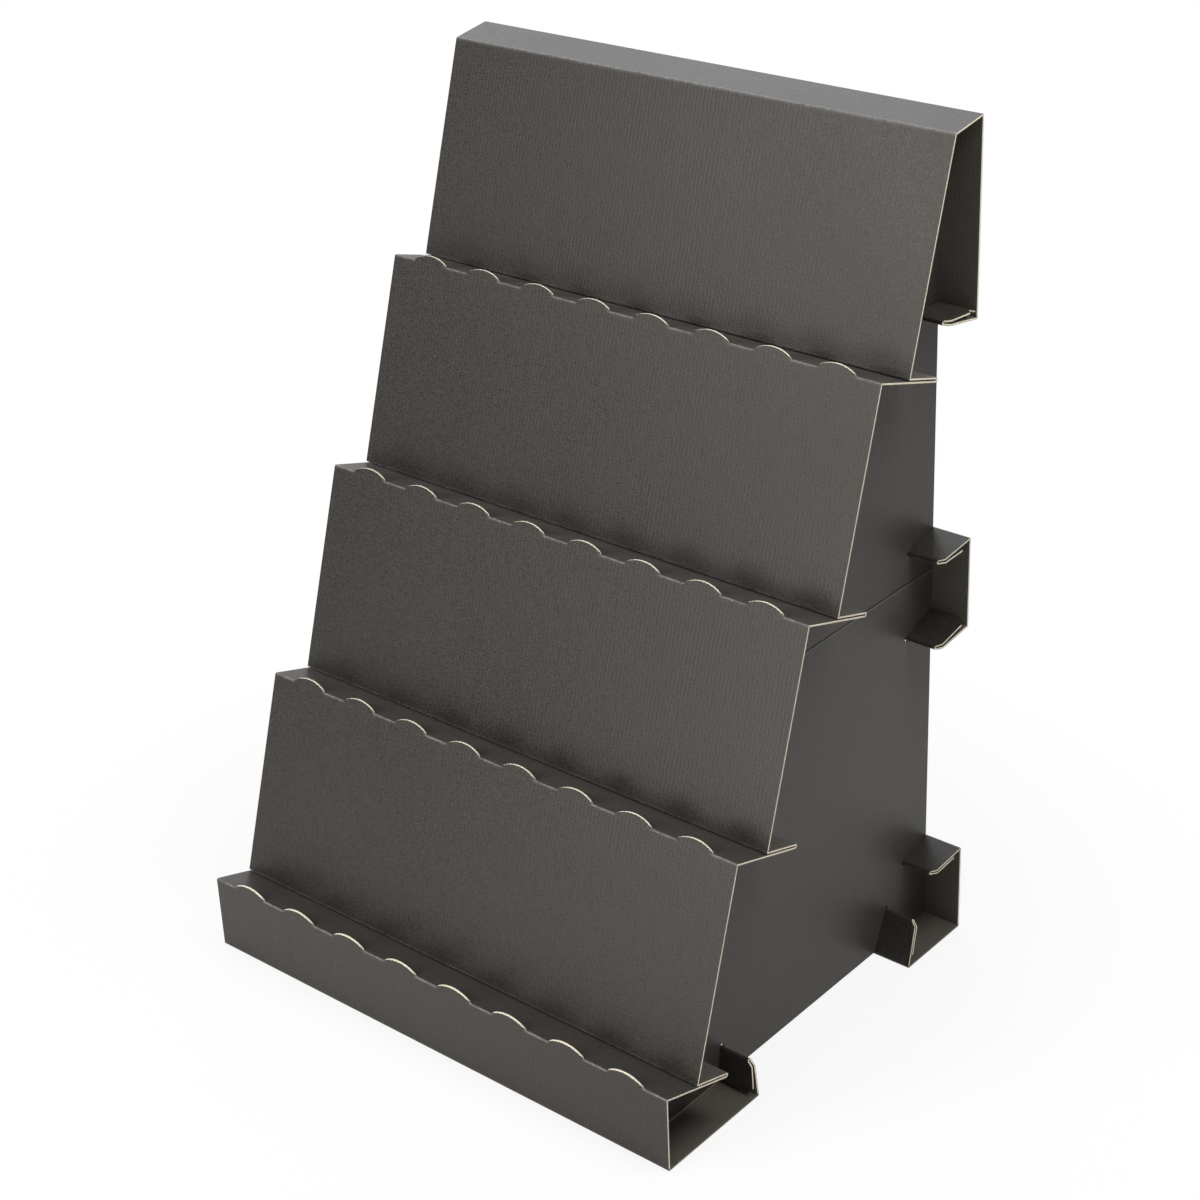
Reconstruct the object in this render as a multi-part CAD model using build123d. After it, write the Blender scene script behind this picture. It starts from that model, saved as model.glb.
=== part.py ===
from build123d import *
import os
from collections import namedtuple
from math import cos, radians, sin, tan

# A tiered counter display folded from fluted board. One long sheet makes the front: lip, stepped shelves,
# risers and header. Two side panels slot onto the sheet's hems from behind, and two hemmed braces slot
# into the side panels from the back. Millimetres, +Z up, the front towards -Y.

# Board
board = 1.6               # thickness of the sheet
fold_inside = 1.0         # inside radius of a scored fold
hem_gap = 0.8             # air left between the two layers of a hem
fit = 0.3                 # clearance between a side panel and the board that it meets

# Front sheet
width = 440.0
lean = 17.5               # degrees: the risers lean back and the shelves slope down to the rear
riser_count = 3
lip_height = 60.5
shelf_depth = 34.0        # shelf in front of each riser
hem_depth = 36.0          # shelf that runs on behind the riser's face, folded double
riser_height = 160.5
header_height = 163.5
top_depth = 34.0
top_rise = 8.5            # degrees that the header's top rises to the back
back_height = 144.0
base_depth = 101.5        # bottom panel behind the lip

# Half-moon tabs that stand up out of each shelf's front fold
tab_pitch = 52.5
tab_count = int(width // tab_pitch)
tab_chord = 34.0
tab_height = 5.5

# Hemmed flaps that lock the sheets into the side panels
flap_depth = 34.0         # rear flaps of the header and the braces
base_flap_depth = 30.0    # upturned flap behind the lip
foot_flap_depth = 37.0    # upturned flap of the lower brace
hem_clear = 1.6           # air between the layer folded back inside a flap and the panel at its root
hem_spring = 6.0          # degrees that this layer springs open
flap_taper = 2.8          # each end of a flap narrows by this over its depth
flap_chamfer = 5.0
brace_droop = 13.0        # degrees that the braces' rear flaps fall towards the front
back_rise = 7.0           # degrees that the header's rear flap rises towards the front
foot_lean = 23.0          # degrees that the lower brace's upturned flap leans to the rear

# Rear braces
web_height = 72.0
mid_brace_height = 261.5  # underside of the middle brace's web
foot_depth = 70.0         # bottom panel of the lower brace

# Side panels
side_inset = 30.4         # from the sheet's end to a side panel's outer face
slot_end = 2.0            # slot left open past a flap's folded edge
foot_chamfer = 3.0        # at a side panel's rear foot
crease_height = 301.0
crease_width = 1.4
crease_depth = 0.5

HEM_ANGLE = 150.0         # a fold past this many degrees is a hem, closed up to the hem's gap

Panel = namedtuple("Panel", "corner begin heading straight length fold")


def along(angle):
    """Unit vector in the section plane, at an angle in degrees from the rearward direction."""
    return Vector(cos(radians(angle)), sin(radians(angle)))


def face_radius(fold):
    """Radius of a fold on the printed face, which is outside it, or inside where it folds back."""
    inside = hem_gap / 2 if abs(fold) > HEM_ANGLE else fold_inside
    return inside + board if fold > 0 else inside


def setback(fold):
    """Distance from an outside corner, or from a hem's folded edge, to where the bend begins."""
    if fold is None:
        return 0.0
    if abs(fold) > HEM_ANGLE:
        return board + hem_gap / 2
    return face_radius(fold) * tan(radians(abs(fold) / 2))


class FoldedBoard:
    """The section of a folded sheet, walked along its printed face.

    Each step is a panel's length between outside corners and the fold that ends it, in degrees: positive
    towards the inside of the sheet, negative back over the printed face, None at a cut edge. The board
    lies to the left of the walk where side is 1 and to the right where it is -1.
    """

    def __init__(self, start, heading, side, steps):
        self.side = side
        self.panels = []
        begin = Vector(*start)
        before = 0.0
        for length, fold in steps:
            straight = length - before - setback(fold)
            corner = begin - along(heading) * before
            self.panels.append(Panel(corner, begin, heading, straight, length, fold))
            if fold is None:
                break
            centre = self.bend_centre(self.panels[-1])
            spoke = begin + along(heading) * straight - centre
            heading += side * fold
            begin = centre + spoke.rotate(Axis.Z, side * fold)
            before = setback(fold)

    def bend_centre(self, panel):
        """Centre of the bend that ends a panel."""
        towards = self.side if panel.fold > 0 else -self.side
        end = panel.begin + along(panel.heading) * panel.straight
        return end + along(panel.heading + 90 * towards) * face_radius(panel.fold)

    def line(self, depth, last):
        """Edges of the line at a depth under the printed face, from the start to the end of one panel."""
        edges = []
        for panel in self.panels[:last + 1]:
            begin = panel.begin + along(panel.heading + 90 * self.side) * depth
            edges.append(Line(begin, begin + along(panel.heading) * panel.straight))
            if panel is self.panels[last]:
                break
            inward = 1 if panel.fold > 0 else -1
            radius = face_radius(panel.fold) - depth * inward
            spoke = panel.heading - 90 * self.side * inward
            edges.append(CenterArc(self.bend_centre(panel), radius, spoke, self.side * panel.fold))
        return edges

    def solid(self):
        """The sheet: its section between the two faces, drawn out over the stand's width."""
        last = len(self.panels) - 1
        face = self.line(0, last)
        back = self.line(board, last)
        cuts = [Line(face[0] @ 0, back[0] @ 0), Line(face[-1] @ 1, back[-1] @ 1)]
        return extrude(Plane.YZ * make_face(face + back + cuts), width / 2, both=True)

    def plane(self, index):
        """Plane on a panel's printed face, from its first corner: Y along the panel, Z into the board."""
        panel = self.panels[index]
        inward = along(panel.heading + 90 * self.side)
        origin = (0, panel.corner.X, panel.corner.Y)
        return Plane(origin, x_dir=(self.side, 0, 0), z_dir=(0, inward.X, inward.Y))


def scallop(sheet, walk, index):
    """Cuts a row of half-moons out of the shelf behind a fold and leaves them upright, as tabs, in the
    plane of the panel in front of it."""
    panel = walk.panels[index]
    bend = setback(panel.fold)
    arc = ThreePointArc((-tab_chord / 2, 0), (0, tab_height), (tab_chord / 2, 0))
    moon = make_face([arc, Line(arc @ 1, arc @ 0)])
    stem = Rectangle(tab_chord, bend + board, align=(Align.CENTER, Align.MAX))
    shelf = walk.plane(index + 1)
    crest = walk.plane(index) * Pos(0, panel.length, 0)
    row = GridLocations(tab_pitch, tab_pitch, tab_count, 1)
    sheet -= [shelf * place * extrude(moon, bend, both=True) for place in row]
    return sheet + [crest * place * extrude(moon + stem, board) for place in row]


def hem_height(reach):
    """Height of a hemmed flap at a distance from its folded edge, where the inner layer has sprung open."""
    return 2 * board + hem_gap + reach * tan(radians(hem_spring))


def trim_flap(sheet, walk):
    """Narrows the flap at a walk's end towards its folded edge, and chamfers its corners and those of its
    inner layer."""
    panel, flap, layer = walk.panels[-3:]
    plane = walk.plane(-2)
    end = width / 2
    root = setback(panel.fold)
    free = flap.length - layer.length
    shoulder = flap.length - flap_chamfer
    between = board + hem_gap / 2
    taper = flap_taper / (shoulder - root)
    tip = [(end - flap_taper, shoulder), (end - flap_taper - flap_chamfer - board, flap.length + board),
           (end, flap.length + board)]
    side = Polyline((end, root), *tip, close=True)
    notch = free + flap_chamfer
    edge = end - taper * (notch - root)
    below = free - board
    corner = Polyline((end, below), (edge - notch + below, below), (edge, notch), *tip, close=True)
    cutter = Pos(0, 0, -board) * extrude(make_face(side), board + between)
    cutter += Pos(0, 0, between) * extrude(make_face(corner), hem_height(flap.length))
    return sheet - [plane * cutter, plane * mirror(cutter, Plane.YZ)]


def slot(walk, index, outline):
    """A slot across the side panels. Its outline is drawn along a panel and into the board."""
    plane = walk.plane(index)
    section = Plane(plane.origin, x_dir=plane.y_dir, z_dir=plane.x_dir)
    return extrude(section * make_face(Polyline(*outline, close=True)), width / 2, both=True)


def shelf_slot(walk, index):
    """Square end of the slot that a shelf's hem runs into."""
    tip = walk.panels[index].length
    bend = tip - setback(walk.panels[index].fold)
    over = -board - hem_gap - fit
    under = board + fit
    return slot(walk, index, [(bend, over), (tip + slot_end, over), (tip + slot_end, under), (bend, under)])


def flap_slot(walk):
    """Room for the flap at a walk's end, wider at its mouth, where the inner layer springs open."""
    tip = walk.panels[-2].length
    deep = hem_height(0) + fit
    mouth = hem_height(tip + board) + fit
    return slot(walk, -2, [(-board, -fit), (tip + slot_end, -fit), (tip + slot_end, deep), (tip, deep),
                           (-board, mouth)])


def hemmed(root_fold, flap):
    """Steps of a flap folded double, with the fold at its root: its outer layer, and the inner layer, which
    ends clear of the panel that the flap is folded from."""
    corner = radians(180 - root_fold)
    spring = tan(radians(hem_spring))
    away = board + hem_clear + cos(corner) * hem_height(flap)
    free = away / (sin(corner) + cos(corner) * spring)
    return [(flap, 180 - hem_spring), (flap - free, None)]


# The front sheet, walked both ways from the middle of the lip
tread = [(shelf_depth + hem_depth, -180), (hem_depth, 90)]
rise = [(lip_height / 2, 90 + lean)]
for _ in range(riser_count):
    rise += tread + [(riser_height, 90)]
rise += tread + [(header_height, 90 - lean - top_rise), (top_depth, 90 + top_rise)]
rise += [(back_height, 90 + back_rise)] + hemmed(90 + back_rise, flap_depth)
fall = [(lip_height / 2, 90), (base_depth, 90)] + hemmed(90, base_flap_depth)

lip_middle = (0, lip_height / 2)
front_up = FoldedBoard(lip_middle, 90, -1, rise)
front_down = FoldedBoard(lip_middle, -90, 1, fall)
depth = front_up.panels[-3].corner.X
shelf_folds = [3 * step for step in range(riser_count + 1)]

front_sheet = front_up.solid() + front_down.solid()
for index in shelf_folds:
    front_sheet = scallop(front_sheet, front_up, index)
front_sheet = trim_flap(front_sheet, front_up)
front_sheet = trim_flap(front_sheet, front_down)

# The braces, each walked both ways from the middle of its web, in the plane of the back panel
upper_flap = [(web_height / 2, 90 + brace_droop)] + hemmed(90 + brace_droop, flap_depth)
lower_flap = [(web_height / 2, 90 - brace_droop)] + hemmed(90 - brace_droop, flap_depth)
foot = [(web_height / 2, 90), (foot_depth, 90 + foot_lean)] + hemmed(90 + foot_lean, foot_flap_depth)

mid_web = (depth, mid_brace_height + web_height / 2)
mid_up = FoldedBoard(mid_web, 90, 1, upper_flap)
mid_down = FoldedBoard(mid_web, -90, -1, lower_flap)
mid_brace = mid_up.solid() + mid_down.solid()
mid_brace = trim_flap(mid_brace, mid_up)
mid_brace = trim_flap(mid_brace, mid_down)

low_web = (depth, web_height / 2)
low_up = FoldedBoard(low_web, 90, 1, upper_flap)
low_down = FoldedBoard(low_web, -90, -1, foot)
lower_brace = low_up.solid() + low_down.solid()
lower_brace = trim_flap(lower_brace, low_up)
lower_brace = trim_flap(lower_brace, low_down)

# The side panels: inside the front sheet all the way up, with slots for every hem and flap
inner = board + fit
stair = front_up.line(inner, len(rise) - 3)
base = front_down.line(inner, len(fall) - 3)
back_edge = depth - inner
heel = Polyline(stair[-1] @ 1, (back_edge, inner + foot_chamfer), (back_edge - foot_chamfer, inner),
                base[-1] @ 1)
outer_face = width / 2 - side_inset
blank = extrude(Plane.YZ * make_face(stair + base + heel.edges()), board)
right_side_panel = Pos(outer_face - board, 0, 0) * blank
right_side_panel -= [shelf_slot(front_up, index + 1) for index in shelf_folds]
right_side_panel -= [flap_slot(walk) for walk in (front_up, front_down, mid_up, mid_down, low_up, low_down)]
crease_low = crease_height - crease_width / 2
crease_high = crease_height + crease_width / 2
crease = Polyline((outer_face, crease_low), (outer_face, crease_high),
                  (outer_face - crease_depth, crease_height), close=True)
right_side_panel -= extrude(Plane.XZ * make_face(crease), 2 * depth, both=True)
left_side_panel = mirror(right_side_panel, Plane.YZ)

nodes = {
    "front_sheet": front_sheet,
    "left_side_panel": left_side_panel,
    "right_side_panel": right_side_panel,
    "mid_brace": mid_brace,
    "lower_brace": lower_brace,
}
os.makedirs("parts", exist_ok=True)
for name, node in nodes.items():
    export_step(Pos(0, -depth / 2, 0) * node, f"parts/{name}.step")
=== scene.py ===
from math import cos, pi, radians, sin, tan

import bpy
import numpy as np
from mathutils import Matrix, Vector


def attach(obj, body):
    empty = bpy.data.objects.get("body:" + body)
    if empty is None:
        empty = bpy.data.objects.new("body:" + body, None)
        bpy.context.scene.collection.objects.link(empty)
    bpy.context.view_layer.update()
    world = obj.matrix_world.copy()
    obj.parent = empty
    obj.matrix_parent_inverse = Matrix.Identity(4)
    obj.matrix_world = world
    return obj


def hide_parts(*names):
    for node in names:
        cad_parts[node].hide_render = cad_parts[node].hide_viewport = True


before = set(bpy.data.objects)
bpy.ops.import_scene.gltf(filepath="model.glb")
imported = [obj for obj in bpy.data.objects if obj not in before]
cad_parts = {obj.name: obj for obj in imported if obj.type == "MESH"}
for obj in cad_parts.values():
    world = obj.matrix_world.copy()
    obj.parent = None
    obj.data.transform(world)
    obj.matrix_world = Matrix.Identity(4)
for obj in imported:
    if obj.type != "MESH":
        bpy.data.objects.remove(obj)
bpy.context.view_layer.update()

# Sizes of the stand, in metres and degrees, as in the solids
MM = 0.001
board = 1.6 * MM
hem_gap = 0.8 * MM            # between the two layers of a hem
width = 440.0 * MM
lean = 17.5                   # of the risers and the header
riser_count = 3
lip_height = 60.5 * MM
shelf_depth = 34.0 * MM       # in front of a riser
hem_depth = 36.0 * MM         # of a shelf behind a riser
riser_height = 160.5 * MM
header_height = 163.5 * MM
top_depth = 34.0 * MM
top_rise = 8.5
back_height = 144.0 * MM
base_depth = 101.5 * MM
tab_pitch = 52.5 * MM
tab_count = 8
tab_chord = 34.0 * MM
tab_height = 5.5 * MM
flap_depth = 34.0 * MM
base_flap_depth = 30.0 * MM
foot_flap_depth = 37.0 * MM
hem_clear = 1.6 * MM          # from a flap's inner layer to the panel at the flap's root
hem_spring = 6.0              # by which a flap's inner layer springs open
foot_spring = 1.0             # the same on the lower brace, whose hems lie close
flap_taper = 2.8 * MM         # narrowing of a flap at each side
flap_chamfer = 5.0 * MM
brace_droop = 13.0            # of the braces' flaps from level
back_rise = 7.0               # of the flap under the back panel from level
foot_lean = 23.0              # of the flap that stands on the lower brace's foot
web_height = 72.0 * MM
mid_brace_height = 261.5 * MM
foot_depth = 70.0 * MM
side_inset = 30.4 * MM        # from the sheets' ends to the side panels' outer faces
crease_height = 301.0 * MM    # of the line scored across the side panels

# Finer forms of the real board
flute_pitch = 3.3 * MM
crease_radius = 1.1 * MM      # outside of a creased fold, where the board is pressed thin
pinch = 0.95                  # share of that radius that the pressed board keeps
die_width = 0.5 * MM          # rolled edge that the cutting rule leaves on the tabs
die_share = 0.06              # share of a tab's height that the rolled edge takes at most
die_depth = 0.5 * MM
slit_ease = 3.0 * MM          # length at each end of a tab's cut over which the slit opens
tab_paper = 0.3               # depth through the board that shows on a tab's rolled edge
fold_band_fade = 0.8 * MM           # distance from a crease at which its paler band of wear and painted highlight mostly fades

# Rows and columns of the sheets' meshes
HEM_ANGLE = 150.0             # a fold past this angle is a hem
fold_band_width = 1.4 * MM          # strip of rows beside a crease for its band of wear and painted highlight
bend_rows = 9                 # rows round a fold
cut_strip = 8.0 * MM          # strip of shelf behind a fold whose rows follow the tabs' cuts
flap_knee = 205.0 * MM        # flaps narrow outside this distance from the middle
tab_marks = np.array([0, 3, 6, 9, 11.5, 13.5, 15, 16, 17]) / 17   # columns over half a tab's chord
sharp_edge = radians(40)
PRINTED, INNER, CUT = 0, 1, 2  # material slots

# Colours and finishes
board_black = (0.0212, 0.0189, 0.0160, 1.0)
# the inner face's black, raised well above the printed face's as painted fill light for the stand's shaded
# insides
inner_black_with_painted_fill = (0.085, 0.081, 0.069, 1.0)
# painted shade for the upper half of the side panels' scored line, and a painted highlight for its lower edge
score_painted_shade = (0.005, 0.005, 0.004, 1.0)
score_painted_highlight = (0.16, 0.158, 0.155, 1.0)
# paler grey along the folds: partly rubbed wear, partly a painted highlight on the rounded crease
fold_wear_and_highlight = (0.26, 0.26, 0.265, 1.0)
dust_grey = (0.40, 0.38, 0.35, 1.0)
# ink in the cut edges' liners, and painted contact shade on those edges near the floor
edge_ink_and_contact_shade = (0.06, 0.055, 0.048, 1.0)
frayed_tan = (0.42, 0.36, 0.25, 1.0)
# paper_hollow_shade is painted shade in the cavities between the flutes; paper_crown is the paper itself
paper_hollow_shade = (0.52, 0.47, 0.37)
paper_crown = (0.80, 0.76, 0.65)
side_paper = 0.6              # brightness of the side panels' cut edges beside the sheets'
board_gloss = 0.34
paper_gloss = 0.3
board_nap = 0.12              # sheen of the board's paper fibres
nap_rough = 0.5
board_rough = 0.40
inner_dull = 0.15             # added roughness of the inner face
edge_dull = 0.45              # added roughness of the side panels' cut edges
inner_grit = 0.4              # strength of the inner face's grain beside the printed one's
sheet_grain = (400.0, 1150.0, 1150.0)   # fibres per metre on each axis
side_grain = (1150.0, 1150.0, 400.0)
flute_height = 2.2e-5
fibre_height = 1.3e-4
fine_height = 4.5e-5
drift_height = 3.0e-4

# Studio
floor_drop = 0.4 * MM         # keeps the floor clear of the bottom panels
floor_reach = 8.0
floor_paint = (0.90, 0.90, 0.90, 1.0)
pure_white = (1.0, 1.0, 1.0, 1.0)
mirrored_floor = 0.3          # share of the floor's white that the board mirrors
mirrored_room = 0.25          # the same of the room, away from the backdrop
backdrop_way = (-0.65, 0.76, 0.0)
room_fill = 0.15
warm_white = (1.0, 0.957, 0.910)
cool_white = (0.90, 0.95, 1.0)


def add_to_scene(name, data):
    """A new object of some data, linked into the scene."""
    made = bpy.data.objects.new(name, data)
    bpy.context.scene.collection.objects.link(made)
    return made


def is_hem(fold):
    """Whether a fold lays the board back on itself."""
    return fold is not None and abs(fold) > HEM_ANGLE


def face_radius(fold):
    """Radius of a fold on the printed face: a hem wraps round the gap, and round the board too where the
    printed face is outside it; every other fold is a sharp crease."""
    if is_hem(fold):
        return hem_gap / 2 + (board if fold > 0 else 0)
    return crease_radius


def setback(fold):
    """Distance from an outside corner, or from a hem's folded edge, to where the bend begins."""
    if fold is None:
        return 0.0
    return board + hem_gap / 2 if is_hem(fold) else crease_radius * tan(radians(abs(fold) / 2))


def inner_layer(root_fold, flap, spring):
    """Length of the layer folded back inside a flap, which ends clear of the panel at the flap's root: the
    flap's own less the way back to that panel, which leans by the root's fold, along the sprung layer."""
    corner = radians(180 - root_fold)
    spring = tan(radians(spring))
    away = board + hem_clear + cos(corner) * (2 * board + hem_gap + flap * spring)
    return flap - away / (sin(corner) + cos(corner) * spring)


def arc(length, heading, bend):
    """Displacement along an arc of a given length, first heading and curvature: the chord is the length
    times sin(half turn) / half turn, in the direction of the heading halfway. Curvature 0 is straight."""
    half = length * bend / 2
    chord = length * np.sinc(half / pi)
    return chord * np.cos(heading + half), chord * np.sin(heading + half)


class FoldedSheet:
    """A sheet walked along its printed face, with the board on the right of the walk.

    Each step is a panel's length between outside corners and the fold that ends it, in degrees: positive
    towards the inside, negative back over the printed face, None at a cut edge. The heading at a distance
    s along the flat sheet is the running sum of the folds, and the place is the integral of its cosine
    and sine, so the section is straight runs joined by circular arcs. Even runs are panels, odd ones bends.
    """

    def __init__(self, steps, anchor, heading, corner):
        runs, turns, before = [], [], 0.0
        for length, fold in steps:
            runs.append(length - before - setback(fold))
            turns.append(0.0)
            if fold is not None:
                runs.append(radians(abs(fold)) * face_radius(fold))
                turns.append(-radians(fold))
            before = setback(fold)
        self.steps = steps
        self.run = np.array(runs)
        self.begin = np.cumsum(self.run) - self.run
        self.bend = np.array(turns) / self.run
        self.heading = np.cumsum(turns) - turns
        self.heading += radians(heading) - self.heading[2 * anchor]
        moves = np.array(arc(self.run, self.heading, self.bend))
        self.place = np.cumsum(moves, axis=1) - moves
        self.place += (np.array(corner) - self.corner(anchor))[:, None]
        creased = np.array([not is_hem(fold) for _, fold in steps[:-1]])
        self.crease = (self.begin + self.run / 2)[1::2][creased]
        self.crease_half = self.run[1::2][creased] / 2
        self.crease_tangent = np.tan(np.abs(np.array(turns)[1::2][creased]) / 2)

    def corner(self, panel):
        """Outside corner where a panel begins."""
        heading = self.heading[2 * panel]
        before = setback(self.steps[panel - 1][1]) if panel else 0.0
        return self.place[:, 2 * panel] - before * np.array((cos(heading), sin(heading)))

    def fold(self, s):
        """Place and heading at distances s along the sheet."""
        k = np.clip(np.searchsorted(self.begin, s, side="right") - 1, 0, len(self.run) - 1)
        on = s - self.begin[k]
        y, z = arc(on, self.heading[k], self.bend[k])
        return self.place[0, k] + y, self.place[1, k] + z, self.heading[k] + self.bend[k] * on

    def part_fold(self, s, run, share):
        """The same past one bend, where only a share of the bend is folded: 0 stays straight, 1 is all."""
        along = np.clip(s - self.begin[run], 0, self.run[run])
        beyond = s - self.begin[run] - along
        bend = self.bend[run] * share
        y, z = arc(along, self.heading[run], bend)
        heading = self.heading[run] + bend * along
        y = self.place[0, run] + y + beyond * np.cos(heading)
        z = self.place[1, run] + z + beyond * np.sin(heading)
        return y, z, heading

    def thickness(self, s):
        """Depth of the inner face behind the printed one: the board's own, but no more than the pinched
        radius in a crease, from where it grows with the distance over the tangent of half the fold, so
        that the two inner faces meet and don't cross."""
        beyond = np.maximum(np.abs(s[..., None] - self.crease) - self.crease_half, 0)
        pressed = pinch * (crease_radius + beyond / self.crease_tangent)
        return np.minimum(board, pressed.min(axis=-1))

    def near_crease(self, s):
        """Distance along the sheet to the nearest crease."""
        return np.abs(s[..., None] - self.crease).min(axis=-1)

    def ramp(self, fold):
        """Length beside a fold over which the pressed board comes back to its thickness."""
        if fold is None or is_hem(fold):
            return 0.0
        return (board / pinch - crease_radius) * tan(radians(abs(fold) / 2))

    def flap_ends(self, s, flap, layer, root):
        """Half width of the sheet at distances s, on a hemmed flap: it narrows from the flap's root to its
        folded edge, with chamfers there and at the inner layer's free edge."""
        depth = self.steps[flap][0]
        corner = self.corner(flap) if root < flap else self.corner(root)
        heading = self.heading[2 * flap] + (0 if root < flap else pi)
        y, z, turn = self.fold(s)
        y = y + board / 2 * np.sin(turn)
        z = z - board / 2 * np.cos(turn)
        reach = (y - corner[0]) * cos(heading) + (z - corner[1]) * sin(heading)
        root_bend = setback(self.steps[min(flap, root)][1])
        marks = [root_bend, depth - flap_chamfer, depth]
        ends = [width / 2, width / 2 - flap_taper, width / 2 - flap_taper - flap_chamfer]
        half = np.interp(reach, marks, ends)
        free = depth - self.steps[layer][0]
        notch = np.interp(free + flap_chamfer, marks, ends) - flap_chamfer + (reach - free)
        first, last = self.begin[2 * layer], self.begin[2 * layer] + self.run[2 * layer]
        half = np.where((s >= first) & (s <= last), np.minimum(half, notch), half)
        span = sorted((2 * flap, 2 * layer))
        start, stop = self.begin[span[0]], self.begin[span[1]] + self.run[span[1]]
        return np.where((s >= start) & (s <= stop), half, width / 2)


def end_flaps(steps):
    """The flap, its inner layer and the panel at its root, at each end of a walk."""
    last = len(steps) - 1
    return [(1, 0, 2), (last - 1, last, last - 2)]


def tab_columns():
    """Mesh columns over the sheet's width: places x, distances off the nearest tab's middle, whether the
    column crosses a tab's cut, and the share of the fold that it takes, eased to 0 inside the cut."""
    centres = (np.arange(tab_count) - (tab_count - 1) / 2) * tab_pitch
    marks = tab_marks * tab_chord / 2
    over_tab = (centres[:, None] + np.concatenate([-marks, marks])).ravel()
    between = centres[:-1] + tab_pitch / 2
    outer = np.array([flap_knee, width / 2])
    x = np.unique(np.round(np.concatenate([over_tab, between, outer, -outer]), 7))
    off = np.abs(x[:, None] - centres).min(axis=1)
    inside = off < tab_chord / 2 - 1e-6
    ease = np.clip((tab_chord / 2 - off) / slit_ease, 0, 1)
    return x, off, inside, 1 - ease * ease * (3 - 2 * ease)


def half_moon(off, height):
    """Height of a circular arc of the tab's chord at a distance off its middle."""
    radius = (tab_chord ** 2 / 4 + height ** 2) / (2 * height)
    return np.sqrt(np.maximum(radius ** 2 - off ** 2, 0)) - (radius - height)


def tab_rows(sheet, k, columns):
    """Rows over a tabbed bend: shares of the way from the bend to the tabs' cuts, which are half moons behind
    the bend's middle, and then shares of the way from the cuts to the end of a strip of shelf. Gives the
    rows up to the cuts, those behind them, and the strip's end."""
    _, off, inside, _ = columns
    begin, run = sheet.begin[k], sheet.run[k]
    fold = sheet.steps[k // 2][1]
    middle = begin + run / 2
    cut = middle + np.where(inside, half_moon(off, tab_height + setback(fold) - run / 2), 0)
    rise = begin + np.linspace(0, 1, bend_rows)[1:-1, None] * (cut - begin)
    rolled = cut - np.minimum(die_width, die_share * (cut - begin))
    strip = begin + run + cut_strip
    bend = np.array([0, 0.2, 0.4, 0.6, 0.8, 1.0]) * run / 2
    ramp = run / 2 + np.array([0.5, 1.0]) * sheet.ramp(fold)
    flat = np.linspace(ramp[-1], strip - middle, 4)[1:]
    shares = np.concatenate([bend, ramp, flat]) / (strip - middle)
    return list(rise) + [rolled, cut], list(cut + shares[:, None] * (strip - cut)), strip


def sheet_rows(sheet, columns, tab_bends, chamfered):
    """Rows of the flat sheet as distances s for each column, the bend that each row stands over (or -1), and
    the rows after which the sheet is cut open. A flat panel has rows only beside its folds, and a
    chamfered one at the ends of its chamfers."""
    rows, stands, cuts = [], [], []
    begin = 0.0
    for k, run in enumerate(sheet.run):
        end = sheet.begin[k] + run
        fold = sheet.steps[k // 2][1]
        if k in tab_bends:
            before, behind, begin = tab_rows(sheet, k, columns)
            stands[-1] = k
            rows += before
            cuts.append(len(rows) - 1)
            rows += behind
            stands += [k] * len(before) + [-1] * len(behind)
            continue
        if k % 2:
            values = np.linspace(begin, end, bend_rows)
        else:
            came = sheet.steps[k // 2 - 1][1] if k and k - 1 not in tab_bends else None
            first, last = begin + sheet.ramp(came), end - sheet.ramp(fold)
            values = [begin, first, first + fold_band_width, last - fold_band_width, last, end]
            if k // 2 in chamfered:
                values += [begin + flap_chamfer - setback(came), end - flap_chamfer + setback(fold)]
            values = np.unique(np.round(values, 6))
        values = values[1:] if rows else values
        rows += list(values[:, None] * np.ones_like(columns[0]))
        stands += [-1] * len(values)
        begin = end
    return np.array(rows), np.array(stands), cuts


def sheet_points(sheet, columns, rows, tab_bends, flaps):
    """Points of the printed face, of the inner face, and the share of its fold that each takes. The printed
    face is the section carried along the width, on a grid of rows and columns, with the tabs left as
    straight as their columns say, the flaps narrowed outside the knee, and the tabs' edges rolled
    inwards. The inner face lies the thickness along the inward normal."""
    x, _, inside, share = columns
    s, stands, cuts = rows
    y, z, heading = sheet.fold(s)
    taken = np.ones_like(s)
    for bend in tab_bends:
        on = stands == bend
        y[on], z[on], heading[on] = sheet.part_fold(s[on], bend, share[None, :])
        taken[on] = share
    half = np.full(s.shape[0], width / 2)
    for flap in flaps:
        half = np.minimum(half, sheet.flap_ends(s[:, 0], *flap))
    beyond = np.maximum(np.abs(x) - flap_knee, 0)
    shrink = (half - width / 2) / (width / 2 - flap_knee)
    across = x[None, :] + np.sign(x)[None, :] * beyond[None, :] * shrink[:, None]
    face = np.stack([across, y, z], axis=-1)
    inward = np.stack([np.zeros_like(y), np.sin(heading), -np.cos(heading)], axis=-1)
    depth = board - (board - sheet.thickness(s)) * taken
    back = face + depth[..., None] * inward
    rolled = np.zeros_like(s)
    rolled[cuts] = die_depth * (1 - share) * inside
    return face + rolled[..., None] * inward, back, taken


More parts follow.
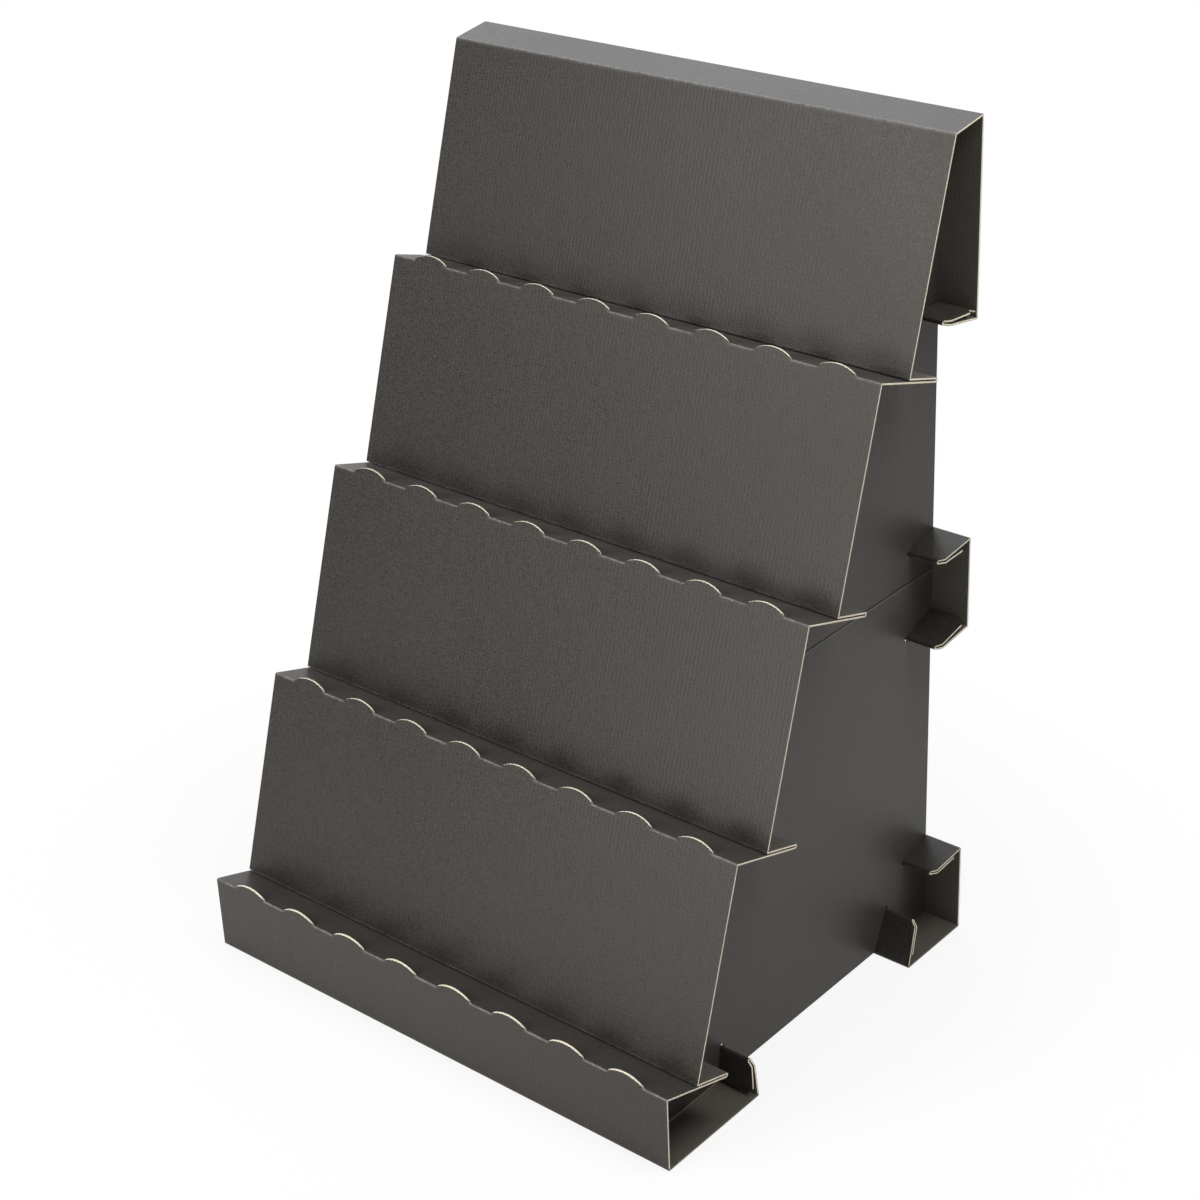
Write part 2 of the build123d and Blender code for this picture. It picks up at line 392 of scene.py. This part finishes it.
def sheet_faces(shape, cuts, inside):
    """Faces of a grid that is cut open after some rows: a cut row shares its points with the next one only
    outside the tabs. Gives the grid points in use, the printed face's quads, which of them are a tab's
    rolled edge, and the quads that join each open edge to the inner face, whose points follow."""
    index = np.arange(shape[0] * shape[1]).reshape(shape)
    joined = index.copy()
    for row in cuts:
        joined[row + 1] = np.where(inside, index[row + 1], index[row])
    lower = np.setdiff1d(np.arange(shape[0] - 1), cuts)
    near, far = joined[lower], joined[lower + 1]
    quads = np.stack([near[:, :-1], near[:, 1:], far[:, 1:], far[:, :-1]], axis=-1)
    tab_edge = np.isin(lower + 1, cuts)[:, None] & (inside[:-1] | inside[1:])[None, :]
    used, quads = np.unique(quads.reshape(-1, 4), return_inverse=True)
    quads = quads.reshape(-1, 4)
    count = len(used)
    start, stop = quads.ravel(), np.roll(quads, -1, axis=1).ravel()
    open_edge = ~np.isin(start * count + stop, stop * count + start)
    start, stop = start[open_edge], stop[open_edge]
    rim = np.stack([stop, start, start + count, stop + count], axis=-1)
    return used, quads, tab_edge.ravel(), rim


def sheet_mesh(name, sheet, columns, tab_bends, flaps, finishes):
    """A folded sheet as one closed mesh of its two faces and its cut edges, with two attributes: through,
    the depth into the board from 0 to 1, and crease, a bell curve over the distance to a crease."""
    inside = columns[2]
    chamfered = [panel for flap, layer, _ in flaps for panel in (flap, layer)]
    rows = sheet_rows(sheet, columns, tab_bends, chamfered)
    s, _, cuts = rows
    face, back, taken = sheet_points(sheet, columns, rows, tab_bends, flaps)
    used, quads, tab_edge, rim = sheet_faces(s.shape, cuts, inside)
    count = len(used)
    faces = np.concatenate([quads, quads[:, ::-1] + count, rim])
    points = np.concatenate([face.reshape(-1, 3)[used], back.reshape(-1, 3)[used]])

    mesh = bpy.data.meshes.new(name)
    mesh.from_pydata(points.tolist(), [], faces.tolist())
    kinds = np.repeat([PRINTED, INNER, CUT], [len(quads), len(quads), len(rim)])
    kinds[:len(quads)][tab_edge] = CUT
    mesh.polygons.foreach_set("material_index", kinds.astype(np.int32))
    mesh.polygons.foreach_set("use_smooth", np.ones(len(faces), dtype=bool))
    through = np.zeros_like(s)
    through[cuts] = tab_paper * inside
    through[np.array(cuts, dtype=int) - 1] = tab_paper * inside
    through = np.concatenate([through.ravel()[used], np.ones(count)])
    mesh.attributes.new("through", "FLOAT", "POINT").data.foreach_set("value", through)
    # paler band along the creases, for wear and a painted highlight on the fold
    crease_wear_and_highlight = np.exp(-(sheet.near_crease(s) / fold_band_fade) ** 2) * taken
    crease_wear_and_highlight = np.concatenate([crease_wear_and_highlight.ravel()[used], np.zeros(count)])
    mesh.attributes.new("crease", "FLOAT", "POINT").data.foreach_set("value", crease_wear_and_highlight)
    mesh.set_sharp_from_angle(angle=sharp_edge)
    for finish in finishes:
        mesh.materials.append(finish)
    mesh.validate()
    return add_to_scene(name, mesh)


class Wire:
    """One shader socket. Arithmetic on wires and numbers adds Math nodes; node() adds any other kind."""

    def __init__(self, tree, socket=None):
        self.tree = tree
        self.socket = socket

    def node(self, kind, settings=None, sockets=None, output=0):
        """Adds a node: its settings are set first, then the values or links of its sockets."""
        made = self.tree.nodes.new(kind)
        for name, value in (settings or {}).items():
            setattr(made, name, value)
        for name, value in (sockets or {}).items():
            if isinstance(value, Wire):
                self.tree.links.new(value.socket, made.inputs[name])
            else:
                made.inputs[name].default_value = value
        return Wire(self.tree, made.outputs[output] if made.outputs else None)

    def output(self, name):
        """Another output of the same node."""
        return Wire(self.tree, self.socket.node.outputs[name])

    def math(self, operation, *values):
        """A Math node on wires and numbers."""
        return self.node("ShaderNodeMath", {"operation": operation}, dict(enumerate(values)))

    def __add__(self, other):
        return self.math("ADD", self, other)

    def __radd__(self, other):
        return self.math("ADD", other, self)

    def __sub__(self, other):
        return self.math("SUBTRACT", self, other)

    def __rsub__(self, other):
        return self.math("SUBTRACT", other, self)

    def __mul__(self, other):
        return self.math("MULTIPLY", self, other)

    def __rmul__(self, other):
        return self.math("MULTIPLY", other, self)

    def __abs__(self):
        return self.math("ABSOLUTE", self)

    def sine(self):
        return self.math("SINE", self)

    def step(self, low, high):
        """Rises smoothly from 0 at low to 1 at high."""
        sockets = {"Value": self, "From Min": low, "From Max": high, "To Min": 0.0, "To Max": 1.0}
        return self.node("ShaderNodeMapRange", {"interpolation_type": "SMOOTHSTEP"}, sockets)

    def mix(self, first, second):
        """Mix of two colours by this wire."""
        return self.node("ShaderNodeMix", {"data_type": "RGBA"}, {0: self, 6: first, 7: second}, 2)

    def tint(self, colour):
        """A colour times this wire."""
        sockets = {0: 1.0, 6: colour, 7: self}
        return self.node("ShaderNodeMix", {"data_type": "RGBA", "blend_type": "MULTIPLY"}, sockets, 2)


def new_finish(name):
    """An empty material and the wire that its nodes are added from."""
    material = bpy.data.materials.new(name)
    material.use_nodes = True
    material.node_tree.nodes.clear()
    return material, Wire(material.node_tree)


def speckle(wire, place, scale, detail=2.0):
    """Soft noise about 0, between -0.5 and 0.5, with a number of features per metre on each axis."""
    sized = wire.node("ShaderNodeMapping", {}, {"Vector": place, "Scale": scale})
    return wire.node("ShaderNodeTexNoise", {}, {"Vector": sized, "Scale": 1.0, "Detail": detail}) - 0.5


def board_look(wire, tone, across, grain, grit=1.0):
    """Satin black board: flutes that show through as a sine across the sheet, fibre grain in short streaks,
    faint clouding, a slow unevenness and a few specks of dust. Gives the colour, the roughness and the
    height for bump; grit is the strength of the grain."""
    place = wire.node("ShaderNodeTexCoord", output="Object")
    axis = wire.node("ShaderNodeSeparateXYZ", {}, {0: place}, across)
    sway = speckle(wire, place, (45.0, 45.0, 45.0), 1.0)
    flute = (axis * (2 * pi / flute_pitch) + 1.2 * sway).sine() * (0.7 + 1.2 * sway)
    drift = speckle(wire, place, (6.0, 6.0, 6.0))
    fibre = speckle(wire, place, grain, 3.0)
    fine = speckle(wire, place, (1300.0, 1300.0, 1300.0), 1.0)
    shade = 1.0 + 0.25 * drift + 2.8 * grit * fibre + 1.2 * grit * fine + 0.10 * flute
    colour = shade.tint(tone)
    cells = wire.node("ShaderNodeTexVoronoi", {}, {"Vector": place, "Scale": 42.0}, "Distance")
    pick = wire.node("ShaderNodeSeparateXYZ", {}, {0: cells.output("Color")}, "X")
    dust = (1 - cells.step(0.010, 0.020)) * pick.step(0.95, 0.96)
    colour = (0.5 * dust).mix(colour, dust_grey)
    rough = board_rough + 0.10 * drift + 0.35 * fibre
    height = flute_height * flute + fibre_height * grit * fibre + fine_height * grit * fine
    return colour, rough, height + drift_height * drift


def shine(material, wire, colour, rough, height, gloss, nap):
    """Joins colour, roughness and bump to one shader, with its gloss and the sheen of its paper fibres."""
    bump = wire.node("ShaderNodeBump", {}, {"Strength": 1.0, "Distance": 1.0, "Height": height})
    sockets = {"Base Color": colour, "Roughness": rough, "Normal": bump, "Specular IOR Level": gloss,
               "Sheen Weight": nap, "Sheen Roughness": nap_rough}
    shader = wire.node("ShaderNodeBsdfPrincipled", {}, sockets)
    wire.node("ShaderNodeOutputMaterial", {}, {"Surface": shader})
    return material


def paper_edge(wire, place, through, along, pale):
    """Colour of a cut edge: the fluted paper, a sine along the edge, with painted shade in the hollows
    between the flutes, between two liners that the ink has gone into, and painted contact shade where it
    meets the floor. Pale is the paper's brightness."""
    wave = 0.5 + 0.25 * (along * (2 * pi / flute_pitch)).sine()
    fluting = 1 - abs(through - wave).step(0.12, 0.30)
    # painted shade in the flute hollows, between the crowns of the paper
    hollow_shade = tuple(pale * part for part in paper_hollow_shade) + (1.0,)
    crown = tuple(pale * part for part in paper_crown) + (1.0,)
    paper = (0.3 + 0.7 * fluting).mix(hollow_shade, crown)
    ink = abs(through - 0.5).step(0.30, 0.42)
    paper = (0.85 * ink).mix(paper, edge_ink_and_contact_shade)
    # painted contact shade: the cut edge darkens towards the floor
    height = wire.node("ShaderNodeSeparateXYZ", {}, {0: place}, "Z")
    floor_contact_shade = 1 - height.step(1.2 * MM, 2.6 * MM)
    return (0.8 * floor_contact_shade).mix(paper, edge_ink_and_contact_shade)


def printed_board():
    """Outer face of the folded sheets, paler along the folds from wear and a painted highlight."""
    material, wire = new_finish("printed_board")
    colour, rough, height = board_look(wire, board_black, "X", sheet_grain)
    place = wire.node("ShaderNodeTexCoord", output="Object")
    worn = speckle(wire, place, (240.0, 240.0, 240.0), 3.0).step(-0.25, 0.25)
    crease = wire.node("ShaderNodeAttribute", {"attribute_name": "crease"}, {}, "Fac")
    # paler along the folds: patchy wear and a painted highlight
    colour = (crease * (0.30 + 0.45 * worn)).mix(colour, fold_wear_and_highlight)
    return shine(material, wire, colour, rough, height, board_gloss, board_nap)


def inner_board():
    """Inner face of the folded sheets, a little duller, and paler as painted fill light."""
    material, wire = new_finish("inner_board")
    colour, rough, height = board_look(wire, inner_black_with_painted_fill, "X", sheet_grain, inner_grit)
    return shine(material, wire, colour, rough + inner_dull, height, board_gloss, board_nap)


def cut_edge():
    """Cut edges of the folded sheets: matt paper with a little fuzz."""
    material, wire = new_finish("cut_edge")
    through = wire.node("ShaderNodeAttribute", {"attribute_name": "through"}, {}, "Fac")
    place = wire.node("ShaderNodeTexCoord", output="Object")
    along = wire.node("ShaderNodeSeparateXYZ", {}, {0: place}, "X")
    fuzz = speckle(wire, place, (900.0, 900.0, 900.0))
    colour = (1.0 + 0.3 * fuzz).tint(paper_edge(wire, place, through, along, 1.0))
    return shine(material, wire, colour, 0.9 + 0.1 * fuzz, 2e-5 * fuzz, paper_gloss, 0.0)


def side_board(rear):
    """The side panels: board with upright flutes on their faces, paper where the surface turns away from
    the panel's own plane, at its cut edges and slots, the scored line with painted shade above and a
    painted highlight below it, and the frayed lower edge that stands on the bottom panel, as far as that
    panel's rear."""
    material, wire = new_finish("side_board")
    colour, rough, height = board_look(wire, board_black, "Y", side_grain)
    place = wire.node("ShaderNodeTexCoord", output="Object")
    along = wire.node("ShaderNodeSeparateXYZ", {}, {0: place}, "Y")
    over = along.output("Z") - crease_height
    # painted shade along the scored line's upper half and a painted highlight just below it
    painted_groove_shade = 1 - abs(over - 0.30 * MM).step(0.50 * MM, 1.10 * MM)
    pale = 1 - abs(over + 1.10 * MM).step(0.20 * MM, 0.80 * MM)
    colour = (0.85 * painted_groove_shade).mix(colour, score_painted_shade)
    colour = (0.40 * pale).mix(colour, score_painted_highlight)
    low = 1 - along.output("Z").step(2.7 * MM, 3.3 * MM)
    frayed = low * (1 - along.step(rear - 2 * MM, rear - MM))
    colour = (0.6 * frayed).mix(colour, frayed_tan)
    through = (width / 2 - side_inset - abs(along.output("X"))) * (1 / board)
    normal = wire.node("ShaderNodeNewGeometry", output="True Normal")
    turned = wire.node("ShaderNodeSeparateXYZ", {}, {0: normal}, "X")
    edge = 1 - abs(turned).step(0.3, 0.5)
    colour = edge.mix(colour, paper_edge(wire, place, through, along, side_paper))
    return shine(material, wire, colour, rough + edge_dull * edge, height, board_gloss, board_nap)


def background_rays(wire, mirrored):
    """1 for rays that see the background straight from the camera or through glass, and a share for
    mirrored ones."""
    rays = wire.node("ShaderNodeLightPath", output="Is Camera Ray")
    seen = rays.math("MAXIMUM", rays, rays.output("Is Glossy Ray") * mirrored)
    return rays.math("MAXIMUM", seen, rays.output("Is Transmission Ray"))


def studio_floor():
    """A pale floor that takes the stand's soft shadow close by, and runs out to plain white."""
    mesh = bpy.data.meshes.new("floor")
    signs = ((-1, -1), (1, -1), (1, 1), (-1, 1))
    mesh.from_pydata([(a * floor_reach, b * floor_reach, -floor_drop) for a, b in signs], [], [(0, 1, 2, 3)])
    material, wire = new_finish("floor_white")
    place = wire.node("ShaderNodeTexCoord", output="Object")
    away = wire.node("ShaderNodeVectorMath", {"operation": "LENGTH"}, {0: place}, "Value")
    white = background_rays(wire, mirrored_floor) * (0.86 + 0.14 * away.step(0.28, 0.55))
    matt = wire.node("ShaderNodeBsdfDiffuse", {}, {"Color": floor_paint})
    glow = wire.node("ShaderNodeEmission", {}, {"Color": pure_white, "Strength": 1.0})
    mixed = wire.node("ShaderNodeMixShader", {}, {0: white, 1: matt, 2: glow})
    wire.node("ShaderNodeOutputMaterial", {}, {"Surface": mixed})
    mesh.materials.append(material)
    add_to_scene("floor", mesh)


def studio_world():
    """White to the camera and in reflections of the backdrop, which stands behind the stand and to its left,
    with the rest of the room dimmer in them, and a low fill."""
    world = bpy.data.worlds.new("studio")
    world.use_nodes = True
    world.node_tree.nodes.clear()
    wire = Wire(world.node_tree)
    way = wire.node("ShaderNodeTexCoord", output="Generated")
    dot = {"operation": "DOT_PRODUCT"}
    towards = wire.node("ShaderNodeVectorMath", dot, {0: way, 1: backdrop_way}, "Value")
    mirrored = mirrored_room + (1 - mirrored_room) * towards.step(0.1, 0.7)
    strength = room_fill + (1 - room_fill) * background_rays(wire, mirrored)
    light = wire.node("ShaderNodeBackground", {}, {"Color": pure_white, "Strength": strength})
    wire.node("ShaderNodeOutputWorld", {}, {"Surface": light})
    bpy.context.scene.world = world


def softbox(name, place, aim, size, watts, colour):
    """A large soft lamp at a place, turned to a point."""
    lamp = bpy.data.lights.new(name, "AREA")
    lamp.shape = "RECTANGLE"
    lamp.size, lamp.size_y = size
    lamp.energy = watts
    lamp.color = colour
    holder = add_to_scene(name, lamp)
    holder.location = place
    holder.rotation_euler = (Vector(aim) - Vector(place)).to_track_quat("-Z", "Y").to_euler()


def photo_camera():
    """The camera of the photograph: its place, its view direction and the direction to its right."""
    lens = bpy.data.cameras.new("camera")
    lens.sensor_width = 36.0
    lens.lens = 76.012
    lens.shift_y = -0.02
    look = Vector((-0.584468, 0.672374, -0.454214)).normalized()
    right = Vector((0.766809, 0.640736, -0.038221)).normalized()
    up = right.cross(look)
    turn = Matrix((right, up, -look)).transposed().to_4x4()
    camera = add_to_scene("camera", lens)
    camera.matrix_world = Matrix.Translation((1.07676, -1.20916, 1.13584)) @ turn
    bpy.context.scene.camera = camera


# The folded sheets, each walked from one flap's free edge to the other's
tread = [(shelf_depth + hem_depth, -180), (hem_depth, 90)]
front_steps = [(inner_layer(90, base_flap_depth, hem_spring), 180 - hem_spring), (base_flap_depth, 90),
               (base_depth, 90), (lip_height, 90 + lean)]
front_steps += riser_count * (tread + [(riser_height, 90)]) + tread
front_steps += [(header_height, 90 - lean - top_rise), (top_depth, 90 + top_rise),
                (back_height, 90 + back_rise), (flap_depth, 180 - hem_spring),
                (inner_layer(90 + back_rise, flap_depth, hem_spring), None)]
LIP = 3
BACK = len(front_steps) - 3
stand_depth = FoldedSheet(front_steps, LIP, 90, (0.0, 0.0)).corner(BACK)[0]
front_line = FoldedSheet(front_steps, LIP, 90, (-stand_depth / 2, 0.0))

mid_steps = [(inner_layer(90 + brace_droop, flap_depth, hem_spring), 180 - hem_spring),
             (flap_depth, 90 + brace_droop), (web_height, 90 - brace_droop), (flap_depth, 180 - hem_spring),
             (inner_layer(90 - brace_droop, flap_depth, hem_spring), None)]
low_steps = [(inner_layer(90 + brace_droop, flap_depth, foot_spring), 180 - foot_spring),
             (flap_depth, 90 + brace_droop), (web_height, 90), (foot_depth, 90 + foot_lean),
             (foot_flap_depth, 180 - foot_spring),
             (inner_layer(90 + foot_lean, foot_flap_depth, foot_spring), None)]
WEB = 2
mid_line = FoldedSheet(mid_steps, WEB, -90, (stand_depth / 2, mid_brace_height + web_height))
low_line = FoldedSheet(low_steps, WEB, -90, (stand_depth / 2, web_height))

finishes = [printed_board(), inner_board(), cut_edge()]
columns = tab_columns()
tab_bends = [2 * (LIP + 3 * step) + 1 for step in range(riser_count + 1)]
for node, line, bends in (("front_sheet", front_line, tab_bends), ("mid_brace", mid_line, []),
                          ("lower_brace", low_line, [])):
    piece = sheet_mesh(node + "_board", line, columns, bends, end_flaps(line.steps), finishes)
    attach(piece, "root")
    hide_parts(node)

side_finish = side_board(base_depth - stand_depth / 2)
for node in ("left_side_panel", "right_side_panel"):
    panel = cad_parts[node]
    panel.data.materials.clear()
    panel.data.materials.append(side_finish)

# Floor, light and camera
studio_floor()
studio_world()
softbox("low_softbox", (-0.24, -1.32, 0.36), (-0.10, 0.05, 0.30), (0.75, 0.60), 8.0, warm_white)
softbox("high_softbox", (-0.70, -1.32, 1.08), (-0.26, 0.05, 0.82), (0.60, 0.50), 11.0, warm_white)
softbox("overhead_softbox", (0.15, 0.05, 3.0), (0.15, 0.05, 0.0), (1.5, 1.3), 30.0, warm_white)
softbox("top_softbox", (-1.2, 1.3, 1.75), (0.0, 0.1, 0.55), (1.3, 1.1), 8.0, cool_white)
softbox("floor_softbox", (0.66, 0.12, 1.20), (0.42, 0.12, 0.0), (0.45, 0.45), 6.0, warm_white)
softbox("right_softbox", (1.6, -0.3, 0.22), (0.2, 0.05, 0.10), (1.0, 0.4), 2.4, warm_white)
photo_camera()
bpy.context.scene.view_settings.view_transform = "Standard"
